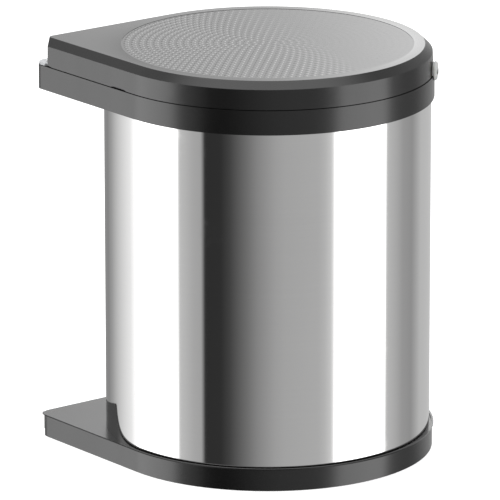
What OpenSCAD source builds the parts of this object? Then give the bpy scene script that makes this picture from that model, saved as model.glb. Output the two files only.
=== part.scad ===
// Swing-out built-in waste bin with a round steel drum.
// The drum, its top ring, its bottom tray and the inner bucket swing out of the cabinet
// together on a vertical hinge in one square corner. The lid stays in the cabinet and
// a ramp on the ring lifts it as the bin swings out.
// Origin: on the drum's axis, level with the tray's underside. +Z up.
// The hinge corner lies towards -X -Y, the cabinet's side panel faces -X, its door -Y.

/* [Drum] */
// Outer diameter of the steel drum
drum_d = 280; // [260:2:300]
// Thickness of the drum's steel sheet
drum_t = 0.8; // [0.5:0.1:1.2]
// Height of drum that shows between the tray and the ring
drum_show_h = 292.4; // [240:0.2:340]

/* [Top ring] */
// Height of the top ring
ring_h = 21; // [19:0.5:28]
// How far the ring's outer wall stands out past the drum
ring_proud = 2.8; // [2.4:0.1:5]
// Radius that rounds the ring's square corner
ring_round = 10; // [9:0.5:14.5]
// Depth of the seat that the bucket's rim hangs in, below the ring's top
seat_d = 1.8; // [1.4:0.1:2.4]
// Width of the ring's deck outside the bucket's seat, measured in from the drum's wall
deck_in = 8; // [7:0.5:12]
// Width of the ledge that carries the bucket's rim
ledge_w = 4.8; // [3:0.2:6]

/* [Bottom tray] */
// Height of the bottom tray
tray_h = 18.6; // [15:0.2:24]
// How far the tray's wall stands out past the drum
tray_proud = 2.6; // [2.3:0.1:5]
// How far the lip along the tray's top edge stands out past its wall
tray_lip = 1.1; // [0.4:0.1:1.6]
// Height of that lip, which stands up along the front and round the drum
tray_lip_h = 1.2; // [0.8:0.1:3]
// Thickness of the deck that covers the tray's square corner
tray_deck_t = 1.2; // [1:0.1:3]
// Radius that rounds the tray's square corner
tray_round = 14; // [12:0.5:17.5]

/* [Mouldings] */
// Wall thickness of the ring and the tray
wall = 2.4; // [2:0.1:3]
// Play between pieces that are fixed to each other
fit = 0.05; // [0.02:0.01:0.1]
// Depth of the guide walls that hold the drum's edges from inside
guide_h = 12; // [8:0.5:16]
// Radius of the rivets that hold the drum to its guide walls
rivet_r = 1.6; // [1.2:0.1:2]
// Number of rivets round each end of the drum
rivet_count = 4; // [3:1:8]

/* [Lid] */
// Seam between the lid's lower edge and the ring
seam = 0.5; // [0.4:0.1:1.2]
// How far the lid's lower edge stands out past the drum
lid_proud = 2; // [1.6:0.1:2.6]
// Height of the lid's side wall
lid_wall_h = 17.2; // [15:0.2:22]
// How far the side wall leans in over its height
lid_draft = 1; // [0.5:0.1:2]
// Height of the bevel round the lid's top
bevel_h = 6.2; // [4:0.2:8]
// Width of that bevel
bevel_w = 6.6; // [4:0.2:8]
// Wall thickness of the lid
lid_t = 2.2; // [1.8:0.1:2.8]
// Width of the plain border round the lid's sunk panel
border_w = 9.4; // [3:0.2:11]
// Depth of the sunk panel
panel_d = 0.2; // [0.1:0.1:0.8]
// How far the lid's heel stands past the swing axis
heel_over = 0.2; // [-0.4:0.1:0.8]
// Width of the shallow lift notch in the lid's front edge
notch_w = 22; // [12:1:30]
// Height of that notch
notch_h = 1.5; // [1:0.1:2.5]
// Depth of that notch into the wall
notch_d = 1.3; // [0.6:0.1:1.6]
// Distance of the notch's middle from the drum's axis, towards the hinge
notch_x = 23; // [15:0.5:60]

/* [Swing hinge] */
// Distance of the swing axis from the ring's two straight faces
pivot_inset = 9.8; // [9.4:0.1:11]
// Diameter of the two swing pins
pin_d = 5; // [4:0.1:5.4]
// Running clearance between a pin and its bush
run = 0.05; // [0.02:0.01:0.1]
// Wall of the hinge bushes
bush_t = 0.8; // [0.6:0.1:1]
// Wall of the moulded bosses that hold the bushes
boss_t = 1.6; // [1.2:0.1:1.6]
// Radius of a bush's flange
flange_r = 4.8; // [4.4:0.1:5]
// Thickness of a bush's flange
flange_t = 1.5; // [1:0.1:2.5]
// How far the bin swings out
swing_angle = 90; // [60:5:90]

/* [Wall bracket] */
// Thickness of the bracket's sheet
sheet = 2; // [1.6:0.1:2.4]
// Clearance between the tray's lip and the arms' upright flanges
arm_clear = 1.2; // [0.8:0.1:3]
// Height of the lower arm above the tray's underside
arm_up = 3; // [2:0.5:5]
// How far an arm's lug starts and ends along the wall, from the swing axis
lug_from = 28; // [26:1:32]
// Width of the lug where it meets the wall
lug_w = 28; // [20:1:34]
// Width of the wall plate
plate_w = 100; // [80:2:110]
// Depth of the arms' upright flanges
flange_h = 28; // [20:1:32]
// Spacing of the wall screws across the plate
screw_dy = 64; // [32:32:64]
// Spacing of the wall screws up the plate
screw_dz = 224; // [160:32:224]
// Diameter of the wall screw holes
screw_hole_d = 5.5; // [4.5:0.1:6.5]
// Radius of the lug round each swing pin
lug_r = 4.4; // [4.2:0.1:4.6]
// Radius of the rivets that join the arms to the plate
arm_rivet_r = 2.5; // [2:0.1:3]

/* [Lid hinge] */
// How far the lid lifts when the bin is right out
lid_lift = 12; // [8:1:14]
// Distance of the lid's hinge pin from the swing axis, along the diagonal
hinge_back = 6.1; // [5.8:0.1:7]
// Height of the lid's hinge pin above the ring
hinge_up = 6.5; // [6:0.1:8]
// Diameter of the lid's hinge pin
hinge_pin_d = 4; // [3:0.1:4.4]
// Radius of the ears and of the knuckle between them
knuckle_r = 3.6; // [3.2:0.1:4]
// Thickness of the two ears that carry it
ear_t = 1.6; // [1.2:0.1:2]
// Length of the knuckle's foot, from its pin
knuckle_l = 33; // [30:0.5:36]
// Width of the knuckle
knuckle_w = 16.4; // [12:0.2:17]
// Gap that parts of different bodies keep
gap = 0.3; // [0.2:0.05:0.5]

/* [Lifting ramp] */
// Gap between the ramp's bed and the wall of the bucket's seat
ramp_clear = 0.6; // [0:0.1:5]
// Width of the ramp
ramp_w = 5.2; // [4:0.2:6]
// Depth of the ramp's foot below the ring's top
ramp_sink = 0.5; // [0.2:0.1:1.2]
// Free play between the ramp and its roller at rest
follower_gap = 0.6; // [0.3:0.1:1]
// Width of the roller that runs on it
follower_w = 4; // [3:0.2:4.4]
// Diameter of that roller
follower_d = 10; // [8:0.5:11]
// Diameter of that roller's axle
follower_pin_d = 3; // [2.5:0.1:4]
// Angle of the roller past the front face, about the swing axis
follower_at = 1.5; // [1:0.1:3]
// Thickness of the fork's cheeks
cheek_t = 1.6; // [1.2:0.1:2.2]

/* [Lid roller] */
// Diameter of the guide roller on the lid's free edge
roller_d = 16.5; // [12:0.5:17]
// Thickness of that roller
roller_w = 2.4; // [2:0.1:4]
// Height of its axle above the lid's lower edge
roller_up = 3.1; // [2.8:0.1:8]
// Its direction seen from the drum's axis
roller_at = 45; // [40:1:60]
// Diameter of its pin
roller_pin_d = 4; // [3:0.1:4.4]

/* [Bucket] */
// Wall thickness of the bucket
bucket_t = 1.8; // [1.4:0.1:2.4]
// How much narrower the bucket's foot is than its mouth, in radius
bucket_taper = 10.4; // [6:0.2:16]
// Gap under the bucket
bucket_under = 5.8; // [3:0.2:12]
// Play round the bucket in the ring
bucket_play = 0.8; // [0.5:0.1:1.5]
// Diameter of the bail's wire
wire_d = 3; // [2.5:0.1:4]
// Diameter of the bail's grip
grip_d = 9; // [8:0.5:9.5]
// Angle that the grip covers
grip_arc = 40; // [20:2:60]
// Depth of the bail's axis below the ring's top
bail_down = 4.8; // [4.7:0.1:7]

/* [Hidden] */
$fa = 4;
$fs = 0.6;
drum_r = drum_d / 2;
ring_r = drum_r + ring_proud;
tray_r = drum_r + tray_proud;
lip_r = tray_r + tray_lip;
lip_in = tray_r - wall / 4;
lip_top = tray_h + tray_lip_h;
deck_z = tray_h - tray_deck_t;
ring_z = tray_h + drum_show_h;
ring_top = ring_z + ring_h;
seat_z = ring_top - seat_d;
seat_r = drum_r - deck_in;
mouth_r = seat_r - ledge_w;
guide_r = drum_r - drum_t - fit;
drum_z0 = wall;
drum_z1 = ring_top - 2 * wall;
lower_rivet_z = wall + guide_h / 2;
upper_rivet_z = ring_top - wall - guide_h / 2;
// swing axis
pivot = ring_r - pivot_inset;
pivot_u = pivot * sqrt(2);
pin_r = pin_d / 2;
bush_bore = pin_r + run;
bush_r = bush_bore + bush_t;
lower_bush_z = arm_up + sheet + gap;
// wall bracket
arm_x = -(lip_r + arm_clear);
plate_x = arm_x - sheet;
wall_x = plate_x - sheet;
arm_z = ring_top + gap;
arm_top = arm_z + sheet;
arm_front = -pivot + lug_from;
arm_back = 4 * arm_rivet_r;
lower_flange_h = tray_h - arm_up - 2 * sheet;
plate_z0 = arm_up;
plate_z1 = ring_top - 2 * sheet;
plate_mid = (plate_z0 + plate_z1) / 2;
// lid
lid_z = ring_top + seam;
lid_r = drum_r + lid_proud;
bevel_z = lid_z + lid_wall_h;
lid_top = bevel_z + bevel_h;
bevel_r = lid_r - lid_draft;
rim_r = bevel_r - bevel_w;
panel_r = rim_r - border_w;
under_z = lid_top - panel_d - lid_t;
heel_u = pivot_u + heel_over;
hinge_u = pivot_u - hinge_back;
hinge_z = ring_top + hinge_up;
ears_w = knuckle_w + 2 * (gap + ear_t);
// lifting ramp and its roller
ramp_r = pivot_u - seat_r - ramp_clear - wall - ramp_w / 2;
follower_r = follower_d / 2;
follower_xy = [-pivot + ramp_r * cos(follower_at), -pivot + ramp_r * sin(follower_at)];
follower_arm = hinge_u + (follower_xy[0] + follower_xy[1]) / sqrt(2);
ramp_slope = (follower_arm - ramp_w / 2) * sin(lid_lift) / swing_angle;
ramp_z = ring_top - ramp_sink;
follower_z = ramp_z + follower_gap + follower_r + ramp_slope * follower_at;
ramp_end = swing_angle + follower_at + 2;
fork_half = ramp_w / 2 + gap + 0.5;
// guide roller on the lid
roller_z = lid_z + roller_up;
roller_x = ring_r + gap + 0.1;
spacer_r = roller_d / 2 - 0.6;
// bucket and bail
bucket_r = mouth_r - bucket_play;
bucket_z = wall + bucket_under;
bail_z = ring_top - bail_down;
bail_r = bucket_r - bucket_t - grip_d / 2 - 1.4;
// screws that hold the lid's fittings
screw_r = 1.8;
screw_head_r = 3.2;
screw_head_h = 1.8;
boss_r = 3.4;
boss_h = 6;
boss_z = under_z - boss_h;
lug_screws_u = [hinge_u - knuckle_l + 2 * screw_head_r, hinge_u - 4 * knuckle_r];
fork_screws_x = [-1, 1] * (fork_half + cheek_t + 2 * boss_r);

anthracite = [0.24, 0.24, 0.25];
steel = [0.78, 0.78, 0.77];
zinc = [0.68, 0.69, 0.7];
nylon = [0.8, 0.8, 0.78];
bucket_grey = [0.45, 0.46, 0.47];

// ---- shared shapes ----

// Places children on the swing axis.
module at_pivot() translate([-pivot, -pivot, 0]) children();

// Turns children so that +X runs from the drum's axis to the hinge corner, then moves them out.
module on_diagonal(u = 0) rotate([0, 0, 225]) translate([u, 0, 0]) children();

// Places children at one angle round the drum, with +X pointing out.
module at_angle(a, r = 0, z = 0) rotate([0, 0, a]) translate([r, 0, z]) children();

// A quarter of the plan: the square corner with its point rounded.
function round_corner(r, rad, n = 8) = concat([[0, 0], [0, -r]],
    [for (i = [0 : n]) [-r + rad + rad * cos(270 - 90 * i / n), -r + rad + rad * sin(270 - 90 * i / n)]],
    [[-r, 0]]);

// A quarter of the lid's plan: the square corner cut off square to the diagonal.
function cut_corner(r, u) = [[0, 0], [0, -r], [r - u * sqrt(2), -r], [-r, r - u * sqrt(2)], [-r, 0]];

// A solid between two outlines with the same number of points.
module loft(a, z0, b, z1) {
    n = len(a);
    polyhedron(concat([for (p = a) [p[0], p[1], z0]], [for (p = b) [p[0], p[1], z1]]),
        concat([[for (i = [n - 1 : -1 : 0]) i]], [[for (i = [0 : n - 1]) n + i]],
            [for (i = [0 : n - 1]) [i, (i + 1) % n, n + (i + 1) % n, n + i]]));
}

// A tube of revolution between two radii.
module band(r0, r1, z0, z1, from = 0, arc = 360)
    rotate_extrude(angle = arc, start = from) translate([r0, z0]) square([r1 - r0, z1 - z0]);

// The upright walls of a square corner.
module corner_wall(r, rad, z0, z1) translate([0, 0, z0]) linear_extrude(z1 - z0)
    difference() {
        polygon(round_corner(r, rad));
        polygon(round_corner(r - wall, rad - wall));
    }

// A flat square corner outside a circle of radius hole.
module corner_deck(r, rad, hole, z0, z1) translate([0, 0, z0]) linear_extrude(z1 - z0)
    difference() {
        polygon(round_corner(r, rad));
        circle(hole);
    }

// The tray's lip along one side of its square corner, as far as the diagonal and lap past it.
module corner_lip(side, lap, z0, z1) translate([0, 0, z0]) linear_extrude(z1 - z0)
    intersection() {
        difference() {
            polygon(round_corner(lip_r, tray_round));
            polygon(round_corner(lip_in, tray_round));
        }
        polygon([[0, 0], 2 * lip_r * side, [-2 * lip_r, -2 * (lip_r + lap)]]);
    }

// A ring of radial bars between two radii: the drum's rivets, or the holes for them.
module rivet_row(z, r, r0, r1) for (i = [0 : rivet_count - 1])
    at_angle(i * 360 / rivet_count, r0, z) rotate([0, 90, 0]) cylinder(r = r, h = r1 - r0);

// A round part along the perpendicular to the diagonal, centred on the lid's hinge.
module hinge_bar(r, half) on_diagonal(hinge_u) translate([0, 0, hinge_z])
    rotate([90, 0, 0]) cylinder(r = r, h = 2 * half, center = true);

// ---- wall bracket ----

module wall_plate() color(zinc) difference() {
    translate([wall_x, -plate_w / 2, plate_z0]) cube([sheet, plate_w, plate_z1 - plate_z0]);
    for (y = [-1, 1] * screw_dy / 2, z = [-1, 1] * screw_dz / 2)
        translate([wall_x, y, plate_mid + z]) rotate([0, 90, 0])
            cylinder(d = screw_hole_d, h = 3 * sheet, center = true);
    arm_rivet_set(arm_rivet_r + fit, false);
}

// The lug that reaches in from the wall to the swing axis.
module lug_plan() at_pivot() {
    circle(lug_r);
    polygon([[lug_r * cos(17), lug_r * sin(17)], [pivot + plate_x, lug_from + lug_w],
        [pivot + plate_x, lug_from], [lug_r * cos(195), lug_r * sin(195)]]);
}

// An arm's upright flange along the wall, from an outline of [-y, z] points.
module arm_flange(outline) translate([arm_x, 0, 0]) rotate([90, 0, -90]) linear_extrude(sheet)
    polygon(outline);

module pin_hole(z) at_pivot() translate([0, 0, z - sheet]) cylinder(r = pin_r + fit, h = 3 * sheet);

// The upper arm: its nose fills the corner's ledge and its ears hold the lid's hinge.
module upper_arm() color(zinc) difference() {
    union() {
        translate([0, 0, arm_z]) linear_extrude(sheet) {
            lug_plan();
            intersection() {
                polygon(round_corner(ring_r - 2 * gap, ring_round - 2 * gap));
                on_diagonal(hinge_u - knuckle_r - wall / 2)
                    translate([0, -ears_w / 2]) square([2 * ring_round, ears_w]);
            }
        }
        arm_flange([[-arm_front, arm_top], [-arm_back, arm_top], [-arm_back, arm_top - flange_h],
            [plate_w / 2, arm_top - flange_h], [plate_w / 2 + arm_back, arm_top - 0.7 * flange_h],
            [-arm_front, arm_top - flange_h / 2]]);
        for (s = [-1, 1]) on_diagonal(hinge_u)
            translate([0, s * (ears_w - ear_t) / 2, 0]) {
                translate([0, 0, hinge_z]) rotate([90, 0, 0])
                    cylinder(r = knuckle_r, h = ear_t, center = true);
                translate([-knuckle_r, -ear_t / 2, arm_z])
                    cube([2 * knuckle_r, ear_t, hinge_z - arm_z]);
            }
    }
    hinge_bar(hinge_pin_d / 2 + fit, knuckle_w);
    pin_hole(arm_z);
    arm_rivet_set(arm_rivet_r + fit, false);
}

module lower_arm() color(zinc) difference() {
    union() {
        translate([0, 0, arm_up]) linear_extrude(sheet) lug_plan();
        arm_flange([[-arm_front, arm_up], [-arm_back, arm_up], [-arm_back, arm_up + lower_flange_h],
            [-arm_front, arm_up + lower_flange_h]]);
    }
    pin_hole(arm_up);
    arm_rivet_set(arm_rivet_r + fit, false);
}

module arm_rivet_set(r, head)
    for (y = [arm_back - plate_w / 2, 0], z = [plate_z1 - 5 * arm_rivet_r, arm_up + lower_flange_h / 2])
        translate([wall_x, y, z]) rotate([0, 90, 0]) {
            cylinder(r = r, h = 2 * sheet);
            if (head) translate([0, 0, 2 * sheet]) cylinder(r = 1.6 * r, h = 0.8);
        }

module arm_rivets() color(steel) arm_rivet_set(arm_rivet_r, true);

module upper_swing_pin() color(steel) at_pivot() {
    translate([0, 0, ring_z + sheet / 2]) cylinder(r = pin_r, h = arm_top - ring_z);
    translate([0, 0, arm_top]) cylinder(r = pin_r + 2 * gap, h = 2 * gap);
}

module lower_swing_pin() color(steel) at_pivot() {
    translate([0, 0, arm_up - sheet / 2]) cylinder(r = lug_r - 2 * gap, h = sheet / 2);
    translate([0, 0, arm_up - sheet / 2]) cylinder(r = pin_r, h = tray_h - wall - arm_up);
}

module lid_hinge_pin() color(steel) hinge_bar(hinge_pin_d / 2, ears_w / 2 + gap);

// ---- swinging bin ----

module top_ring() color(anthracite) difference() {
    union() {
        band(drum_r + fit, ring_r, ring_z, ring_top, -90, 270);
        band(drum_r - 1, ring_r, ring_top - wall, ring_top, -90, 270);
        corner_wall(ring_r, ring_round, ring_z, ring_top);
        corner_deck(ring_r, ring_round, drum_r - 1, ring_top - wall, ring_top);
        band(seat_r, drum_r, ring_top - wall, ring_top);
        band(mouth_r, drum_r - 4, seat_z - wall, seat_z);
        band(seat_r, seat_r + wall, seat_z - wall, ring_top);
        band(guide_r - wall, guide_r, ring_top - wall - guide_h, ring_top - wall);
        at_pivot() {
            translate([0, 0, ring_z]) cylinder(r = bush_r + boss_t, h = ring_h - wall / 2);
            translate([0, 0, ring_top - flange_t - wall]) cylinder(r = flange_r + boss_t, h = wall);
            band(ramp_r - ramp_w / 2 - wall, ramp_r + ramp_w / 2 + wall,
                ring_top - 2 * wall, ring_top - 1, -7, ramp_end + 10);
            corner_ribs(ring_z + wall, ring_top - wall / 2);
        }
    }
    at_pivot() {
        translate([0, 0, ring_z - 1]) cylinder(r = bush_r + fit, h = ring_h + 2);
        translate([0, 0, ring_top - flange_t]) cylinder(r = flange_r + fit, h = flange_t + 1);
        band(ramp_r - ramp_w / 2 - fit, ramp_r + ramp_w / 2 + fit, ring_top - wall, ring_top + 1,
            -4.5, ramp_end + 4.7);
    }
    rivet_row(upper_rivet_z, rivet_r + fit, guide_r - 2 * wall, guide_r + fit);
}

// Two ribs that run out from a bush's boss, under a corner's deck.
module corner_ribs(z0, z1) for (a = [0, 90]) rotate([0, 0, a]) translate([bush_r, -wall / 2, z0])
    cube([ramp_r - bush_r, wall, z1 - z0]);

module drum() color(steel) difference() {
    band(drum_r - drum_t, drum_r, drum_z0, drum_z1);
    for (z = [lower_rivet_z, upper_rivet_z]) rivet_row(z, rivet_r + fit, guide_r - wall, drum_r + wall);
}

module bottom_tray() color(anthracite) difference() {
    union() {
        cylinder(r = tray_r - 0.6, h = wall);
        band(drum_r + fit, tray_r, 0, tray_h, -90, 270);
        band(lip_in, lip_r, tray_h, lip_top, -90, 260);
        band(drum_r + fit, drum_r + fit + wall - 0.5, 0, tray_h, 180, 90);
        corner_wall(tray_r, tray_round, 0, tray_h);
        corner_deck(tray_r, tray_round, drum_r + fit, deck_z, tray_h);
        corner_lip([0, -1], 0, tray_h, lip_top);
        corner_lip([-1, 0], wall, deck_z, tray_h);
        band(guide_r - wall, guide_r, 0, wall + guide_h);
        at_pivot() {
            translate([0, 0, lower_bush_z + flange_t])
                cylinder(r = bush_r + boss_t, h = deck_z + tray_deck_t / 2 - lower_bush_z - flange_t);
            corner_ribs(lower_bush_z + flange_t, deck_z + tray_deck_t / 2);
        }
    }
    at_pivot() {
        translate([0, 0, -1]) cylinder(r = bush_r + fit, h = tray_h - wall + 1);
        translate([0, 0, -1]) cylinder(r = flange_r + fit, h = lower_bush_z + flange_t + 1);
        band(pin_r, lug_from + lug_w, -1, lower_bush_z + gap, 98, 166);
    }
    rivet_row(lower_rivet_z, rivet_r + fit, guide_r - 2 * wall, guide_r + fit);
}

module drum_rivets() color(steel) for (z = [lower_rivet_z, upper_rivet_z]) {
    rivet_row(z, rivet_r, guide_r - wall - 0.5, drum_r - 0.02);
    rivet_row(z, 1.8 * rivet_r, guide_r - wall - 1.05, guide_r - wall - fit);
}

// A bush along the swing axis, with its flange at the end that faces its arm.
module bush(h) difference() {
    union() {
        cylinder(r = flange_r, h = flange_t);
        cylinder(r = bush_r, h = h);
    }
    translate([0, 0, -1]) cylinder(r = bush_bore, h = h + 2);
}

module upper_bush() color(nylon) at_pivot() translate([0, 0, ring_top]) rotate([180, 0, 0])
    bush(ring_h - wall / 2);

module lower_bush() color(nylon) at_pivot() translate([0, 0, lower_bush_z])
    bush(tray_h - wall - lower_bush_z - gap);

// The ramp rises evenly round the swing axis, from just below the ring's top.
module lifting_ramp() color(nylon) at_pivot() {
    n = 24;
    r0 = ramp_r - ramp_w / 2;
    r1 = ramp_r + ramp_w / 2;
    angles = [for (i = [0 : n]) ramp_end * i / n];
    low = ring_top - wall;
    points = [for (a = angles, p = [[r0, low], [r1, low], [r1, ramp_z + ramp_slope * a],
        [r0, ramp_z + ramp_slope * a]]) [p[0] * cos(a), p[0] * sin(a), p[1]]];
    sides = [for (i = [0 : n - 1], k = [0 : 3])
        let (a = 4 * i + k, b = 4 * i + (k + 1) % 4) [a, a + 4, b + 4, b]];
    polyhedron(points, concat([[0, 1, 2, 3]], sides, [[for (k = [3 : -1 : 0]) 4 * n + k]]));
}

module bucket() color(bucket_grey) difference() {
    union() {
        rotate_extrude() polygon([[0, bucket_z], [bucket_r - bucket_taper, bucket_z],
            [bucket_r, seat_z + fit], [seat_r - 0.5, seat_z + fit], [seat_r - 0.5, ring_top - fit],
            [bucket_r - bucket_t, ring_top - fit],
            [bucket_r - bucket_t - bucket_taper, bucket_z + bucket_t], [0, bucket_z + bucket_t]]);
        for (a = [-45, 135]) at_angle(a, bucket_r - bucket_t - 2, bail_z)
            rotate([0, 90, 0]) cylinder(r = wire_d / 2 + 2.2, h = 3);
        for (a = [45 - grip_arc / 3, 45 + grip_arc / 3]) at_angle(a)
            translate([bail_r - 2, -3, bail_z - grip_d / 2 - gap - 2])
                cube([bucket_r - bucket_t - bail_r + 2.6, 6, 2]);
    }
    for (a = [-45, 135]) at_angle(a, bail_r, bail_z)
        rotate([0, 90, 0]) cylinder(r = wire_d / 2 + run, h = 12);
}

module bail() color(steel) {
    rotate([0, 0, -45]) translate([0, 0, bail_z])
        rotate_extrude(angle = 180) translate([bail_r, 0]) circle(d = wire_d);
    for (a = [-45, 135]) at_angle(a, bail_r, bail_z) {
        sphere(d = wire_d);
        rotate([0, 90, 0]) cylinder(d = wire_d, h = bucket_r - bail_r - 0.4);
    }
}

module bail_grip() color(anthracite) rotate([0, 0, 45 - grip_arc / 2]) translate([0, 0, bail_z])
    rotate_extrude(angle = grip_arc) translate([bail_r, 0]) difference() {
        circle(d = grip_d);
        circle(d = wire_d + 2 * fit);
    }

// ---- lid ----

// The lid's outer form, or the hollow inside it when t is its wall thickness.
module lid_form(t, top) {
    bz = bevel_z - t / 3;
    rotate_extrude(angle = 270, start = -90)
        polygon([[0, lid_z], [lid_r - t, lid_z], [bevel_r - t, bz], [rim_r - t / 2, top], [0, top]]);
    loft(cut_corner(lid_r - t, heel_u - t), lid_z, cut_corner(bevel_r - t, heel_u - t), bz);
    loft(cut_corner(bevel_r - t, heel_u - t), bz, cut_corner(rim_r - t / 2, heel_u - t - 0.4), top);
}

module lid_boss(x) translate([x, 0, boss_z]) cylinder(r = boss_r, h = boss_h + lid_t / 2);

module lid_shell() color(anthracite) difference() {
    union() {
        difference() {
            lid_form(0, lid_top);
            translate([0, 0, -0.001]) lid_form(lid_t, under_z);
        }
        for (u = lug_screws_u) on_diagonal(u) lid_boss(0);
        for (x = fork_screws_x) translate(follower_xy) lid_boss(x);
        at_angle(roller_at, lid_r - 8, lid_z) translate([0, -5, 0])
            cube([6.6, 10, roller_up + roller_pin_d / 2 + 3]);
    }
    translate([0, 0, lid_top - panel_d]) cylinder(r = panel_r, h = 1);
    lift_notch();
    heel_relief();
    on_diagonal(heel_u - 2 * lid_t) translate([0, -ears_w / 2 - 2 * gap, lid_z - 1])
        cube([4 * lid_t, ears_w + 4 * gap, hinge_z - lid_z]);
    translate([-lid_r - lid_t, -pivot, lid_z - 1])
        cube([3 * lid_t, lug_from + lug_w, arm_top - lid_z + 1 + knuckle_r * sin(4 * lid_lift)]);
    for (u = lug_screws_u) on_diagonal(u) screw_hole();
    for (x = fork_screws_x) translate(follower_xy) translate([x, 0, 0]) screw_hole();
    at_angle(roller_at, lid_r - 7, roller_z) rotate([0, 90, 0])
        cylinder(r = roller_pin_d / 2 + fit, h = 10);
}

// A flat arc along the front wall's lower edge.
module lift_notch() {
    r = (notch_w * notch_w / 4 + notch_h * notch_h) / (2 * notch_h);
    translate([-notch_x, -lid_r + notch_d, lid_z + notch_h - r]) rotate([90, 0, 0])
        cylinder(r = r, h = 10, $fn = 180);
}

// What would dip below the seam behind the hinge when the lid is right up.
module heel_relief() on_diagonal(hinge_u) translate([0, 0, hinge_z]) rotate([0, -lid_lift, 0])
    translate([0, -1.2 * ears_w, -hinge_up - ears_w + gap]) cube([ears_w, 2.4 * ears_w, ears_w]);

module screw_hole() translate([0, 0, boss_z - 1]) cylinder(r = screw_r + fit, h = boss_h);

// A pan-head screw, driven up into a boss through a plate of thickness t.
module lid_screw(t) translate([0, 0, boss_z - t]) {
    translate([0, 0, -screw_head_h]) cylinder(r = screw_head_r, h = screw_head_h);
    cylinder(r = screw_r, h = t + 0.75 * boss_h);
}

module hinge_knuckle() color(nylon) difference() {
    union() {
        on_diagonal() rotate([90, 0, 0]) translate([0, 0, -knuckle_w / 2]) linear_extrude(knuckle_w)
            polygon([[hinge_u - knuckle_l, boss_z - wall], [hinge_u - knuckle_l, boss_z],
                [hinge_u - 1.4 * knuckle_r, boss_z],
                [hinge_u + knuckle_r * cos(40), hinge_z + knuckle_r * sin(40)],
                [hinge_u - knuckle_r * cos(40), hinge_z - knuckle_r * sin(40)],
                [hinge_u - 2.8 * knuckle_r, boss_z - wall]]);
        hinge_bar(knuckle_r, knuckle_w / 2);
    }
    hinge_bar(hinge_pin_d / 2 + run, knuckle_w);
    for (u = lug_screws_u) on_diagonal(u) translate([0, 0, boss_z - 2 * wall])
        cylinder(r = screw_r + fit, h = 3 * wall);
}

module knuckle_screws() color(steel) for (u = lug_screws_u) on_diagonal(u) lid_screw(wall);

module roller_fork() color(zinc) difference() {
    translate(follower_xy) {
        translate([fork_screws_x[0] - 1.5 * boss_r, -1.2 * boss_r, boss_z - cheek_t])
            cube([fork_screws_x[1] - fork_screws_x[0] + 3 * boss_r, 2.4 * boss_r, cheek_t]);
        for (s = [-1, 1]) translate([s * (fork_half + cheek_t / 2), 0, 0]) {
            translate([0, 0, follower_z]) rotate([0, 90, 0])
                cylinder(r = 1.2 * follower_pin_d, h = cheek_t, center = true);
            translate([-cheek_t / 2, -1.2 * follower_pin_d, follower_z])
                cube([cheek_t, 2.4 * follower_pin_d, boss_z - follower_z]);
        }
    }
    follower_bar(follower_pin_d / 2 + fit, 4 * follower_d);
    for (x = fork_screws_x) translate(follower_xy) translate([x, 0, boss_z - 2 * cheek_t])
        cylinder(r = screw_r + fit, h = 4 * cheek_t);
}

module follower_bar(r, length) translate([follower_xy[0], follower_xy[1], follower_z])
    rotate([0, 90, 0]) cylinder(r = r, h = length, center = true);

module fork_screws() color(steel)
    for (x = fork_screws_x) translate(follower_xy) translate([x, 0, 0]) lid_screw(cheek_t);

module fork_axle() color(steel) follower_bar(follower_pin_d / 2, 2 * (fork_half + cheek_t + gap));

module ramp_roller() color(nylon) difference() {
    translate([follower_xy[0], follower_xy[1], follower_z]) rotate([0, 90, 0]) rotate_extrude()
        polygon([[0, -follower_w / 2], [follower_r - 0.5, -follower_w / 2],
            [follower_r, 0.5 - follower_w / 2], [follower_r, follower_w / 2 - 0.5],
            [follower_r - 0.5, follower_w / 2], [0, follower_w / 2]]);
    follower_bar(follower_pin_d / 2 + run, 4 * follower_d);
}

module guide_roller_pin() color(steel) at_angle(roller_at, 0, roller_z) rotate([0, 90, 0]) {
    translate([0, 0, lid_r - 6.6]) cylinder(r = roller_pin_d / 2, h = roller_x + roller_w + 6.8 - lid_r);
    translate([0, 0, roller_x + roller_w + 0.2]) cylinder(r = roller_pin_d / 2 + 1.2, h = 0.6);
}

module guide_roller() color(nylon) at_angle(roller_at, roller_x, roller_z) rotate([0, 90, 0])
    difference() {
        rotate_extrude() polygon([[0, 0], [roller_d / 2, 0], [roller_d / 2, roller_w / 3],
            [roller_d / 2 - roller_w / 3, roller_w], [0, roller_w]]);
        translate([0, 0, -2]) cylinder(r = roller_pin_d / 2 + run, h = roller_w + 4);
    }

// The fixed washer behind the guide roller, level with the lid's edge so that it clears the ring.
module roller_spacer() color(nylon) at_angle(roller_at, lid_r + fit, roller_z) rotate([0, 90, 0])
    linear_extrude(roller_x - gap - lid_r - fit) difference() {
        intersection() {
            circle(r = spacer_r);
            translate([-spacer_r, -spacer_r]) square([spacer_r + roller_up, 2 * spacer_r]);
        }
        circle(r = roller_pin_d / 2 + fit);
    }

wall_plate();
upper_arm();
lower_arm();
arm_rivets();
upper_swing_pin();
lower_swing_pin();
lid_hinge_pin();
top_ring();
drum();
bottom_tray();
drum_rivets();
upper_bush();
lower_bush();
lifting_ramp();
bucket();
bail();
bail_grip();
lid_shell();
hinge_knuckle();
knuckle_screws();
roller_fork();
fork_screws();
fork_axle();
ramp_roller();
guide_roller_pin();
guide_roller();
roller_spacer();
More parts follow.
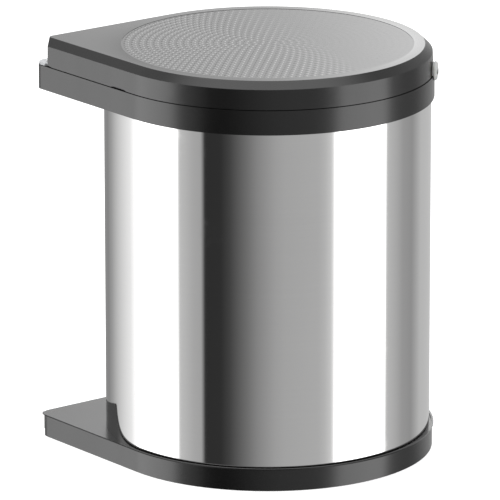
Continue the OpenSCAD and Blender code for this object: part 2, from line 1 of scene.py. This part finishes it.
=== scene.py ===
import math
import bpy
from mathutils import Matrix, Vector


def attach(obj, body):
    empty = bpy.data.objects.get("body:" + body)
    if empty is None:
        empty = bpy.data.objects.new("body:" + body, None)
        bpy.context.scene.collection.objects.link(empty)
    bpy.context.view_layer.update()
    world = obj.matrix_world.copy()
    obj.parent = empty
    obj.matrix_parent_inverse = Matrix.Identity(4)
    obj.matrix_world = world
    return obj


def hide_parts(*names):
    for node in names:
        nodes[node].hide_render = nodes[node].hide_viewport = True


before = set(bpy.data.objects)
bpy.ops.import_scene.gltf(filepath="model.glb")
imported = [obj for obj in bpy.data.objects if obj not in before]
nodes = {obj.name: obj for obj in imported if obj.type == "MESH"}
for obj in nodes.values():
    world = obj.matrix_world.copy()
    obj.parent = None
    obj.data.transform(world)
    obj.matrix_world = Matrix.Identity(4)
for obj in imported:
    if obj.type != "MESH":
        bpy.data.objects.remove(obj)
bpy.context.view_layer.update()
print("frame loaded:", len(nodes), "nodes")


class Wire:
    def __init__(self, net, socket):
        self.net = net
        self.socket = socket

    def __add__(self, other):
        return self.net.maths("ADD", self, other)

    def __radd__(self, other):
        return self.net.maths("ADD", other, self)

    def __sub__(self, other):
        return self.net.maths("SUBTRACT", self, other)

    def __rsub__(self, other):
        return self.net.maths("SUBTRACT", other, self)

    def __mul__(self, other):
        return self.net.maths("MULTIPLY", self, other)

    def __rmul__(self, other):
        return self.net.maths("MULTIPLY", other, self)

    def __truediv__(self, other):
        return self.net.maths("DIVIDE", self, other)


class Net:
    def __init__(self, tree):
        self.tree = tree
        tree.nodes.clear()

    def node(self, kind, inputs=None, settings=None, out=0):
        made = self.tree.nodes.new("ShaderNode" + kind)
        for name, value in (settings or {}).items():
            if name == "stops":
                self.setStops(made.color_ramp, value)
            else:
                setattr(made, name, value)
        for name, value in (inputs or {}).items():
            socket = made.inputs[name]
            if isinstance(value, Wire):
                self.tree.links.new(value.socket, socket)
            else:
                socket.default_value = value
        return Wire(self, made.outputs[out]) if len(made.outputs) else None

    def setStops(self, ramp, marks):
        ramp.elements[0].position, ramp.elements[1].position = marks[0][0], marks[-1][0]
        for place, _ in marks[1:-1]:
            ramp.elements.new(place)
        for element, (_, level) in zip(ramp.elements, marks):
            element.color = grey(level)

    def maths(self, operation, a, b=0.0):
        return self.node("Math", {0: a, 1: b}, {"operation": operation})

    def coords(self, output="Object"):
        return self.node("TexCoord", out=output)

    def split(self, vector):
        parts = self.node("SeparateXYZ", {0: vector}).socket.node.outputs
        return [Wire(self, part) for part in parts]

    def noise(self, vector, scale, detail, rough=0.55):
        inputs = {"Vector": vector, "Scale": scale, "Detail": detail, "Roughness": rough}
        return self.node("TexNoise", inputs, out="Fac")

    def streaks(self, vector, stretch, detail, rough=0.55):
        stretched = self.node("Mapping", {"Vector": vector, "Scale": stretch})
        return self.noise(stretched, 1.0, detail, rough)

    def cells(self, vector, scale, out="Distance"):
        return self.node("TexVoronoi", {"Vector": vector, "Scale": scale}, out=out)

    def fade(self, value, low, high, start=0.0, end=1.0):
        inputs = {0: value, 1: low, 2: high, 3: start, 4: end}
        return self.node("MapRange", inputs, {"interpolation_type": "SMOOTHSTEP"})

    def tint(self, factor, first, second):
        return self.node("Mix", {0: factor, 6: first, 7: second}, {"data_type": "RGBA"}, 2)

    def bump(self, height, distance, strength=1.0, under=None):
        inputs = {"Height": height, "Distance": distance, "Strength": strength}
        if under:
            inputs["Normal"] = under
        return self.node("Bump", inputs)


def grey(level, warm=0.0):
    return (level * (1 + warm), level, level * (1 - warm), 1)


def blend(first, second, share):
    return first + share * (second - first)


def material(name, build):
    made = bpy.data.materials.new(name)
    made.use_nodes = True
    net = Net(made.node_tree)
    shader = net.node("BsdfPrincipled", build(net, net.coords()), out="BSDF")
    net.node("OutputMaterial", {"Surface": shader})
    return made


# in the looks below a noise is its scale and detail, streaks are their stretch and detail, a fade
# runs from its first value to its second, and depths are in metres

plastic = {
    "dark": grey(0.0036), "light": grey(0.0060, 0.02), "cloud": (9, 5), "cloudFade": (0.3, 0.7),
    "rough": 0.225, "smear": ((30, 30, 6), 4), "smearFade": (0.35, 0.75), "smearRough": 0.03,
    "specks": 420, "speckFade": (0.02, 0.10, 1, 0), "speckColour": grey(0.04), "speckTint": 0.15,
    "speckRough": 0.08, "grain": (2600, 2), "grainDepth": 0.000004, "grainStrength": 0.35,
    "ior": 1.57,
}


def plasticBuild(net, place, under=None):
    look = plastic
    cloud = net.fade(net.noise(place, *look["cloud"]), *look["cloudFade"])
    smear = net.fade(net.streaks(place, *look["smear"]), *look["smearFade"])
    specks = net.fade(net.cells(place, look["specks"]), *look["speckFade"])
    colour = net.tint(cloud, look["dark"], look["light"])
    colour = net.tint(specks * look["speckTint"], colour, look["speckColour"])
    rough = look["rough"] + look["smearRough"] * smear + specks * look["speckRough"]
    grain = net.noise(place, *look["grain"])
    normal = net.bump(grain, look["grainDepth"], look["grainStrength"], under)
    return {"Base Color": colour, "Roughness": rough, "IOR": look["ior"], "Normal": normal}


# the lid's rim curves down a little outside the sunk panel, and its top is glossier than its wall
crown = {"edge": 0.125, "reach": 0.020, "depth": 0.0009, "topFade": (0.3550, 0.3553),
         "smoother": 0.125}


def lidBuild(net, place):
    x, y, z = net.split(place)
    past = net.maths("MAXIMUM", net.maths("SQRT", x * x + y * y) - crown["edge"], 0)
    curve = net.maths("EXPONENT", past * (-1 / crown["reach"]))
    inputs = plasticBuild(net, place, net.bump(curve, crown["depth"]))
    top = net.fade(z, *crown["topFade"])
    inputs["Roughness"] = inputs["Roughness"] - top * crown["smoother"]
    return inputs


polished = {
    "dull": grey(0.72, 0.004), "bright": grey(0.78, 0.004), "cloud": (7, 5), "cloudShare": 0.6,
    "lines": ((4, 4, 900), 3), "lineShare": 0.4, "lineRough": 0.02, "lineDepth": 0.000002,
    "lineStrength": 0.25, "rough": 0.045, "marks": ((14, 14, 22), 6, 0.65),
    "markFade": (0.56, 0.72), "markRough": 0.05,
}


def polishedBuild(net, place):
    look = polished
    cloud = net.noise(place, *look["cloud"])
    lines = net.streaks(place, *look["lines"])
    marks = net.fade(net.streaks(place, *look["marks"]), *look["markFade"])
    shade = cloud * look["cloudShare"] + lines * look["lineShare"]
    rough = look["rough"] + look["markRough"] * marks + lines * look["lineRough"]
    return {"Base Color": net.tint(shade, look["dull"], look["bright"]), "Metallic": 1.0,
            "Roughness": rough, "Normal": net.bump(lines, look["lineDepth"], look["lineStrength"])}


turned = {
    "dull": grey(0.52), "bright": grey(0.64, 0.01), "stain": (60, 5), "stainFade": (0.35, 0.7),
    "cuts": (1400, 3), "rough": 0.2, "cutRough": 0.16, "cutDepth": 0.00002, "cutStrength": 0.3,
}


def turnedBuild(net, place):
    look = turned
    cuts = net.noise(place, *look["cuts"])
    stain = net.fade(net.noise(place, *look["stain"]), *look["stainFade"])
    return {"Base Color": net.tint(stain, look["dull"], look["bright"]), "Metallic": 1.0,
            "Roughness": look["rough"] + cuts * look["cutRough"],
            "Normal": net.bump(cuts, look["cutDepth"], look["cutStrength"])}


zinc = {
    "dull": (0.36, 0.37, 0.38, 1), "bright": (0.51, 0.52, 0.53, 1), "metallic": 0.9, "rough": 0.42,
    "spangle": 95, "toneShare": 0.55, "toneRough": 0.12, "toneHeight": 0.4,
    "rub": (18, 6), "rubShare": 0.45, "rubRough": 0.08, "depth": 0.00004, "strength": 0.25,
    "scratch": ((20, 20, 700), 4), "scratchFade": (0.62, 0.72), "scratchTint": 0.35,
    "scratchColour": grey(0.68),
}


def zincBuild(net, place):
    look = zinc
    tone = net.split(net.cells(place, look["spangle"], "Color"))[0]
    rub = net.noise(place, *look["rub"])
    scratch = net.fade(net.streaks(place, *look["scratch"]), *look["scratchFade"])
    shade = tone * look["toneShare"] + rub * look["rubShare"]
    colour = net.tint(shade, look["dull"], look["bright"])
    colour = net.tint(scratch * look["scratchTint"], colour, look["scratchColour"])
    rough = look["rough"] + tone * look["toneRough"] + rub * look["rubRough"]
    return {"Base Color": colour, "Metallic": look["metallic"], "Roughness": rough,
            "Normal": net.bump(tone * look["toneHeight"] + rub, look["depth"], look["strength"])}


nylon = {
    "dull": (0.66, 0.66, 0.64, 1), "bright": (0.76, 0.76, 0.74, 1), "cloud": (35, 5),
    "grease": (120, 4), "greaseFade": (0.58, 0.72), "greaseTint": 0.4,
    "greaseColour": (0.52, 0.50, 0.45, 1), "rough": 0.34, "cloudRough": 0.16, "ior": 1.53,
    "translucence": 0.06, "depth": 0.00005, "strength": 0.3,
}


def nylonBuild(net, place):
    look = nylon
    cloud = net.noise(place, *look["cloud"])
    grease = net.fade(net.noise(place, *look["grease"]), *look["greaseFade"])
    colour = net.tint(cloud, look["dull"], look["bright"])
    colour = net.tint(grease * look["greaseTint"], colour, look["greaseColour"])
    return {"Base Color": colour, "Roughness": look["rough"] + cloud * look["cloudRough"],
            "IOR": look["ior"], "Subsurface Weight": look["translucence"],
            "Normal": net.bump(cloud, look["depth"], look["strength"])}


bucketPlastic = {
    "dull": (0.155, 0.16, 0.165, 1), "bright": (0.20, 0.205, 0.21, 1), "cloud": (14, 5),
    "cloudShare": 0.6, "flow": ((60, 60, 5), 4), "flowShare": 0.4, "flowRough": 0.14,
    "scuff": ((30, 30, 260), 6), "scuffFade": (0.6, 0.74), "scuffTint": 0.5, "scuffRough": 0.12,
    "scuffColour": (0.30, 0.31, 0.32, 1), "rough": 0.38, "ior": 1.5, "grain": (1900, 2),
    "grainDepth": 0.00002, "grainStrength": 0.4,
}


def bucketBuild(net, place):
    look = bucketPlastic
    cloud = net.noise(place, *look["cloud"])
    flow = net.streaks(place, *look["flow"])
    scuff = net.fade(net.streaks(place, *look["scuff"]), *look["scuffFade"])
    shade = cloud * look["cloudShare"] + flow * look["flowShare"]
    colour = net.tint(shade, look["dull"], look["bright"])
    colour = net.tint(scuff * look["scuffTint"], colour, look["scuffColour"])
    rough = look["rough"] + flow * look["flowRough"] + scuff * look["scuffRough"]
    grain = net.noise(place, *look["grain"])
    return {"Base Color": colour, "Roughness": rough, "IOR": look["ior"],
            "Normal": net.bump(grain, look["grainDepth"], look["grainStrength"])}


skins = {
    "plastic": material("anthracite_plastic_skin", plasticBuild),
    "lid": material("dimpled_lid_skin", lidBuild),
    "polished": material("polished_steel_skin", polishedBuild),
    "bright": material("bright_steel_skin", turnedBuild),
    "zinc": material("zinc_sheet_skin", zincBuild),
    "nylon": material("white_nylon_skin", nylonBuild),
    "bucket": material("grey_plastic_skin", bucketBuild),
}
print("materials made:", len(skins))


def alone(piece):
    if bpy.context.object and bpy.context.object.mode != "OBJECT":
        bpy.ops.object.mode_set(mode="OBJECT")
    bpy.ops.object.select_all(action="DESELECT")
    piece.select_set(True)
    bpy.context.view_layer.objects.active = piece


def editAll(piece):
    alone(piece)
    bpy.ops.object.mode_set(mode="EDIT")
    bpy.ops.mesh.select_all(action="SELECT")


def linked(name, mesh):
    mesh.name = name
    piece = bpy.data.objects.new(name, mesh)
    bpy.context.scene.collection.objects.link(piece)
    return piece


merging = {"distance": 0.000004, "flatAngle": 0.4}


def merged(node, name):
    piece = linked(name, nodes[node].data.copy())
    editAll(piece)
    bpy.ops.mesh.remove_doubles(threshold=merging["distance"])
    bpy.ops.mesh.dissolve_limited(angle_limit=math.radians(merging["flatAngle"]))
    bpy.ops.mesh.normals_make_consistent(inside=False)
    bpy.ops.object.mode_set(mode="OBJECT")
    return piece


edges = {"segments": 2, "angle": 28, "smoothPast": 4, "weight": 100}


def soften(piece, width, angle=edges["angle"]):
    alone(piece)
    bevel = piece.modifiers.new("edges", "BEVEL")
    bevel.width = width
    bevel.segments = edges["segments"]
    bevel.limit_method = "ANGLE"
    bevel.angle_limit = math.radians(angle)
    bevel.miter_outer = "MITER_ARC"
    bpy.ops.object.modifier_apply(modifier=bevel.name)
    bpy.ops.object.shade_smooth_by_angle(angle=math.radians(angle + edges["smoothPast"]))
    flat = piece.modifiers.new("flat", "WEIGHTED_NORMAL")
    flat.mode = "FACE_AREA"
    flat.weight = edges["weight"]
    flat.keep_sharp = True
    bpy.ops.object.modifier_apply(modifier=flat.name)


def finish(piece, skin, body, replaced=()):
    piece.data.materials.clear()
    piece.data.materials.append(skins[skin])
    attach(piece, body)
    for node in replaced:
        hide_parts(node)


# the foot of the tray's lip is drawn in on the photographed side, so that the lip leans
trayLip = {"low": 0.0186, "within": 0.00005, "beyond": 0.1431, "narrower": 0.9962}


def undercut(piece, lip):
    alone(piece)
    bpy.ops.object.mode_set(mode="EDIT")
    bpy.ops.mesh.select_mode(type="VERT")
    bpy.ops.mesh.select_all(action="DESELECT")
    bpy.ops.object.mode_set(mode="OBJECT")
    for vertex in piece.data.vertices:
        x, y, z = vertex.co
        outward = math.hypot(x, y) if x > 0 or y > 0 else max(-x, -y)
        atFoot = abs(z - lip["low"]) < lip["within"]
        vertex.select = atFoot and outward > lip["beyond"] and x > y
    bpy.ops.object.mode_set(mode="EDIT")
    bpy.ops.transform.resize(value=(lip["narrower"], lip["narrower"], 1),
                             center_override=(0, 0, 0))
    bpy.ops.object.mode_set(mode="OBJECT")


mouldings = {
    "lid_shell": {"name": "lid_cover", "skin": "lid", "body": "lid", "width": 0.00014,
                  "slot": "anthracite_plastic"},
    "top_ring": {"name": "ring_moulding", "skin": "plastic", "body": "carrier", "width": 0.0002,
                 "slot": "anthracite_plastic"},
    "bottom_tray": {"name": "tray_moulding", "skin": "plastic", "body": "carrier",
                    "width": 0.00014, "slot": "anthracite_plastic", "lip": trayLip},
    "bucket": {"name": "bucket_moulding", "skin": "bucket", "body": "carrier", "width": 0.0004,
               "slot": "grey_plastic"},
}


def mouldingPiece(node, how):
    piece = merged(node, how["name"])
    if "lip" in how:
        undercut(piece, how["lip"])
    soften(piece, how["width"])
    finish(piece, how["skin"], how["body"], [node])
    print("softened", node, len(piece.data.polygons))


for node in ("lid_shell", "top_ring", "bottom_tray"):
    mouldingPiece(node, mouldings[node])

# rings of domes on the lid's panel, each ring with six more than the last: steps are shares of a
# dome's radius inward and of its height upward, crest is the height's last share, and middle,
# fadeX and fadeY say how much of its height a dome has at its place
dimpleSizes = {
    "radius": 0.0025, "height": 0.00020, "floor": 0.3557, "sink": 0.00002, "sides": 10,
    "steps": ((0.30, 0.68), (0.32, 0.26)), "crest": 0.05,
    "pitch": 0.00635, "rings": 19, "more": 6, "turn": -45,
    "middle": 0.50, "fadeX": 3.4, "fadeY": 10.2, "least": 0.04,
}


def domePattern(sizes):
    bpy.ops.object.select_all(action="DESELECT")
    bpy.ops.mesh.primitive_circle_add(vertices=sizes["sides"], radius=sizes["radius"],
                                      fill_type="NGON",
                                      location=(0, 0, sizes["floor"] - sizes["sink"]))
    pattern = bpy.context.active_object
    bpy.ops.object.transform_apply(location=True, rotation=True, scale=True)
    editAll(pattern)
    for inward, up in sizes["steps"]:
        bpy.ops.mesh.inset(thickness=inward * sizes["radius"])
        bpy.ops.transform.translate(value=(0, 0, up * sizes["height"]))
    bpy.ops.mesh.poke()
    bpy.ops.transform.translate(value=(0, 0, sizes["crest"] * sizes["height"]))
    bpy.ops.object.mode_set(mode="OBJECT")
    return pattern


def dimplePiece(sizes):
    pattern = domePattern(sizes)
    points = [vertex.co.copy() for vertex in pattern.data.vertices]
    corners = [list(face.vertices) for face in pattern.data.polygons]
    bpy.data.objects.remove(pattern)
    places = [(0, 0)]
    for ring in range(1, sizes["rings"] + 1):
        for i in range(sizes["more"] * ring):
            angle = sizes["turn"] + 360 / sizes["more"] * i / ring
            places.append((ring * sizes["pitch"], math.radians(angle)))
    allPoints, allFaces = [], []
    for radius, angle in places:
        base = len(allPoints)
        shift = Vector((radius * math.cos(angle), radius * math.sin(angle), sizes["floor"]))
        # the domes grow lower from the lid's front towards its back
        tall = sizes["middle"] - sizes["fadeX"] * shift.x - sizes["fadeY"] * shift.y
        tall = max(sizes["least"], min(1, tall))
        for point in points:
            height = (point.z - sizes["floor"]) * tall
            allPoints.append(Vector((point.x, point.y, height)) + shift)
        allFaces += [[base + i for i in face] for face in corners]
    mesh = bpy.data.meshes.new("lid_dimples")
    mesh.from_pydata(allPoints, [], allFaces)
    piece = linked("lid_dimples", mesh)
    editAll(piece)
    bpy.ops.mesh.normals_make_consistent(inside=False)
    bpy.ops.object.mode_set(mode="OBJECT")
    bpy.ops.object.shade_smooth()
    return piece


dimples = dimplePiece(dimpleSizes)
finish(dimples, "lid", "lid")
print("dimples made", len(dimples.data.polygons))

# the seam is a low raised band at the drum's back, seamHalf faces to each side of its middle
drumSizes = {
    "radius": 0.140, "sheet": 0.0008, "low": 0.0024, "high": 0.3272, "sides": 256,
    "seamAt": 200, "seamHalf": 2, "seamUp": 0.00035, "seamSlope": 0.0003, "seamLow": 0.021,
    "seamHigh": 0.309, "edge": 0.00025, "edgeAngle": 40,
}


def drumPiece(sizes):
    bpy.ops.object.select_all(action="DESELECT")
    height = sizes["high"] - sizes["low"]
    bpy.ops.mesh.primitive_cylinder_add(vertices=sizes["sides"], radius=sizes["radius"],
                                        depth=height, end_fill_type="NOTHING",
                                        location=(0, 0, sizes["low"] + height / 2))
    piece = bpy.context.active_object
    piece.name = "drum_sheet"
    bpy.ops.object.transform_apply(location=True, rotation=True, scale=True)
    bpy.ops.object.mode_set(mode="EDIT")
    for z in (sizes["seamLow"], sizes["seamHigh"]):
        bpy.ops.mesh.select_all(action="SELECT")
        bpy.ops.mesh.bisect(plane_co=(0, 0, z), plane_no=(0, 0, 1))
    bpy.ops.mesh.select_all(action="DESELECT")
    bpy.ops.object.mode_set(mode="OBJECT")
    middle = math.radians(sizes["seamAt"])
    reach = sizes["seamHalf"] * 2 * math.pi / sizes["sides"]
    for face in piece.data.polygons:
        turn = math.atan2(face.center.y, face.center.x) - middle
        turn = abs(math.atan2(math.sin(turn), math.cos(turn)))
        face.select = turn < reach and sizes["seamLow"] < face.center.z < sizes["seamHigh"]
    bpy.ops.object.mode_set(mode="EDIT")
    bpy.ops.mesh.select_mode(type="FACE")
    bpy.ops.mesh.inset(thickness=sizes["seamSlope"], depth=sizes["seamUp"], use_even_offset=True)
    bpy.ops.object.mode_set(mode="OBJECT")
    wall = piece.modifiers.new("wall", "SOLIDIFY")
    wall.thickness = sizes["sheet"]
    wall.offset = -1
    bpy.ops.object.modifier_apply(modifier=wall.name)
    soften(piece, sizes["edge"], sizes["edgeAngle"])
    return piece


drum = drumPiece(drumSizes)
finish(drum, "polished", "carrier", ["drum"])
print("drum made", len(drum.data.polygons))
mouldingPiece("bucket", mouldings["bucket"])

dressed = {
    "zinc": ["wall_plate", "upper_arm", "lower_arm"],
    "bright": ["arm_rivets", "upper_swing_pin", "lower_swing_pin", "lid_hinge_pin",
               "drum_rivets", "bail", "knuckle_screws", "fork_screws", "fork_axle",
               "guide_roller_pin"],
    "nylon": ["upper_bush", "lower_bush", "lifting_ramp", "hinge_knuckle", "roller_fork",
              "ramp_roller", "guide_roller", "roller_spacer"],
    "bucket": ["bail_grip"],
}
for skin, names in dressed.items():
    for name in names:
        for holder in nodes[name].material_slots:
            holder.link = "OBJECT"
            holder.material = skins[skin]
print("nodes dressed")

floorLook = {"size": 30, "height": -0.0005, "haze": (3, 3), "dark": grey(0.86), "light": grey(0.90),
             "glow": 0.72}
bpy.ops.object.select_all(action="DESELECT")
bpy.ops.mesh.primitive_plane_add(size=floorLook["size"], location=(0, 0, floorLook["height"]))
floor = bpy.context.active_object
floor.name = "floor"
floorMaterial = bpy.data.materials.new("pale_floor")
floorMaterial.use_nodes = True
net = Net(floorMaterial.node_tree)
haze = net.noise(net.coords(), *floorLook["haze"])
pale = net.node("BsdfDiffuse", {"Color": net.tint(haze, floorLook["dark"], floorLook["light"])})
glow = net.node("Emission", {"Color": grey(1), "Strength": floorLook["glow"]})
lit = net.node("AddShader", {0: pale, 1: glow})
isCamera = net.node("LightPath", out="Is Camera Ray")
isGlossy = net.node("LightPath", out="Is Glossy Ray")
seen = net.node("MixShader", {0: isCamera, 1: pale, 2: lit})
clear = net.node("MixShader", {0: isGlossy, 1: seen, 2: net.node("BsdfTransparent")})
net.node("OutputMaterial", {"Surface": clear})
floor.data.materials.append(floorMaterial)

cameraAt = {"azimuth": 51.9, "elevation": 15.565, "distance": 5.4885, "aim": (0, 0, 0.175),
            "lens": 459.1, "sensor": 36, "shiftX": -0.0353, "shiftY": -0.0062, "clipEnd": 60}
facing = math.radians(cameraAt["azimuth"])
toward = (math.sin(facing), -math.cos(facing))
rightward = (math.cos(facing), math.sin(facing))

# what polished metal and gloss see round the room, as pairs of degrees and brightness: bands lie
# below the horizon, by degrees right of the photograph's viewpoint, and the others above it, by
# degrees round from the far side
bands = [(-180, 0.30), (-155, 0.27), (-144, 0.41), (-127, 0.78), (-114, 1.05), (-108, 1.4),
         (-104.5, 3.05), (-68, 2.95), (-65.5, 0.68), (-54, 0.505), (-47.8, 0.46), (-44.9, 0.034),
         (-33, 0.036), (-26.5, 0.070), (-20, 0.136), (-13.6, 0.21), (-7.2, 0.30), (-0.8, 0.37),
         (5.5, 0.437), (12, 0.475), (36, 0.52), (41, 0.59), (45, 0.72), (47.5, 1.0), (49.3, 2.95),
         (90, 2.95), (93, 0.63), (104, 0.50), (111, 0.40), (123, 0.35), (138, 0.58), (180, 0.60)]
lowBands = [(-180, 0.62), (-40, 0.62), (-12, 0.55), (-6, 0.35), (8, 0.35), (12, 0.28), (45, 0.28),
            (53, 0.72), (57, 0.73), (110, 0.7), (180, 0.62)]
farBands = [(-180, 0.62), (-60, 0.62), (-38, 0.55), (-14, 0.55), (-8, 1.2), (-5.5, 2.7),
            (-1.9, 2.5), (-1.2, 1.62), (0, 1.26), (1.4, 1.16), (1.9, 1.08), (2.5, 0.88), (4, 0.66),
            (6, 0.42), (10, 0.24), (45, 0.28), (53, 0.72), (57, 0.73), (110, 0.7), (180, 0.62)]
highBands = [(-180, 0.62), (-40, 0.6), (-22, 0.6), (-14, 2), (-6, 2), (-1.2, 2.1), (0, 2.8),
             (1.0, 3.9), (4, 4.2), (12, 3.6), (20, 0.73), (57, 0.73), (180, 0.62)]

# most scales the ramps, and the fades are in degrees above the horizon, other than horizon, which
# is in the height of the looking direction
room = {"most": 6, "diffuse": 0.80, "overhead": 2.05, "under": 0.18, "ground": 0.14,
        "lowToFar": (2, 10), "farToHigh": (19, 30), "highToOverhead": (48, 64),
        "bandsToGround": (-28, -36), "horizon": (-0.04, 0.04)}


def roundRoom(net, across, along, marks):
    turn = net.maths("ARCTAN2", across, along) / (2 * math.pi) + 0.5
    stops = [((angle + 180) / 360, level / room["most"]) for angle, level in marks]
    return net.node("ValToRGB", {0: turn}, {"stops": stops}) * room["most"]


world = bpy.data.worlds.new("studio")
bpy.context.scene.world = world
world.use_nodes = True
net = Net(world.node_tree)
x, y, z = net.split(net.coords("Generated"))
ahead = x * toward[0] + y * toward[1]
aside = x * rightward[0] + y * rightward[1]
rise = net.maths("ARCSINE", z) * (180 / math.pi)
below = roundRoom(net, aside, ahead, bands)
below = blend(below, below * room["under"] + room["ground"],
              net.fade(rise, *room["bandsToGround"]))
low, far, high = [roundRoom(net, aside * -1, ahead * -1, marks)
                  for marks in (lowBands, farBands, highBands)]
above = blend(low, far, net.fade(rise, *room["lowToFar"]))
above = blend(above, high, net.fade(rise, *room["farToHigh"]))
above = blend(above, room["overhead"], net.fade(rise, *room["highToOverhead"]))
gloss = blend(below, above, net.fade(z, *room["horizon"]))
level = blend(room["diffuse"], gloss, net.node("LightPath", out="Is Glossy Ray"))
level = blend(level, 1.0, net.node("LightPath", out="Is Camera Ray"))
sky = net.node("Background", {"Color": grey(1), "Strength": level})
net.node("OutputWorld", {"Surface": sky})


def aimAt(thing, place, target):
    thing.location = place
    thing.rotation_euler = (target - place).to_track_quat("-Z", "Y").to_euler()


lampAt = {"place": (-0.6, -1.6, 2.6), "aim": (0, 0, 0.15), "size": 2.2, "energy": 22}
bpy.ops.object.select_all(action="DESELECT")
bpy.ops.object.light_add(type="AREA")
lamp = bpy.context.active_object
lamp.name = "soft_box"
lamp.data.shape = "SQUARE"
lamp.data.size = lampAt["size"]
lamp.data.energy = lampAt["energy"]
lamp.visible_glossy = False
aimAt(lamp, Vector(lampAt["place"]), Vector(lampAt["aim"]))
print("floor, world and lamp made")

tilt = math.radians(cameraAt["elevation"])
aim = Vector(cameraAt["aim"])
backward = Vector((math.cos(tilt) * toward[0], math.cos(tilt) * toward[1], math.sin(tilt)))
cameraData = bpy.data.cameras.new("camera")
cameraData.lens = cameraAt["lens"]
cameraData.sensor_width = cameraAt["sensor"]
cameraData.shift_x = cameraAt["shiftX"]
cameraData.shift_y = cameraAt["shiftY"]
cameraData.clip_end = cameraAt["clipEnd"]
camera = bpy.data.objects.new("camera", cameraData)
bpy.context.scene.collection.objects.link(camera)
aimAt(camera, aim + cameraAt["distance"] * backward, aim)
bpy.context.scene.camera = camera
bpy.context.scene.view_settings.view_transform = "Standard"
print("camera placed")
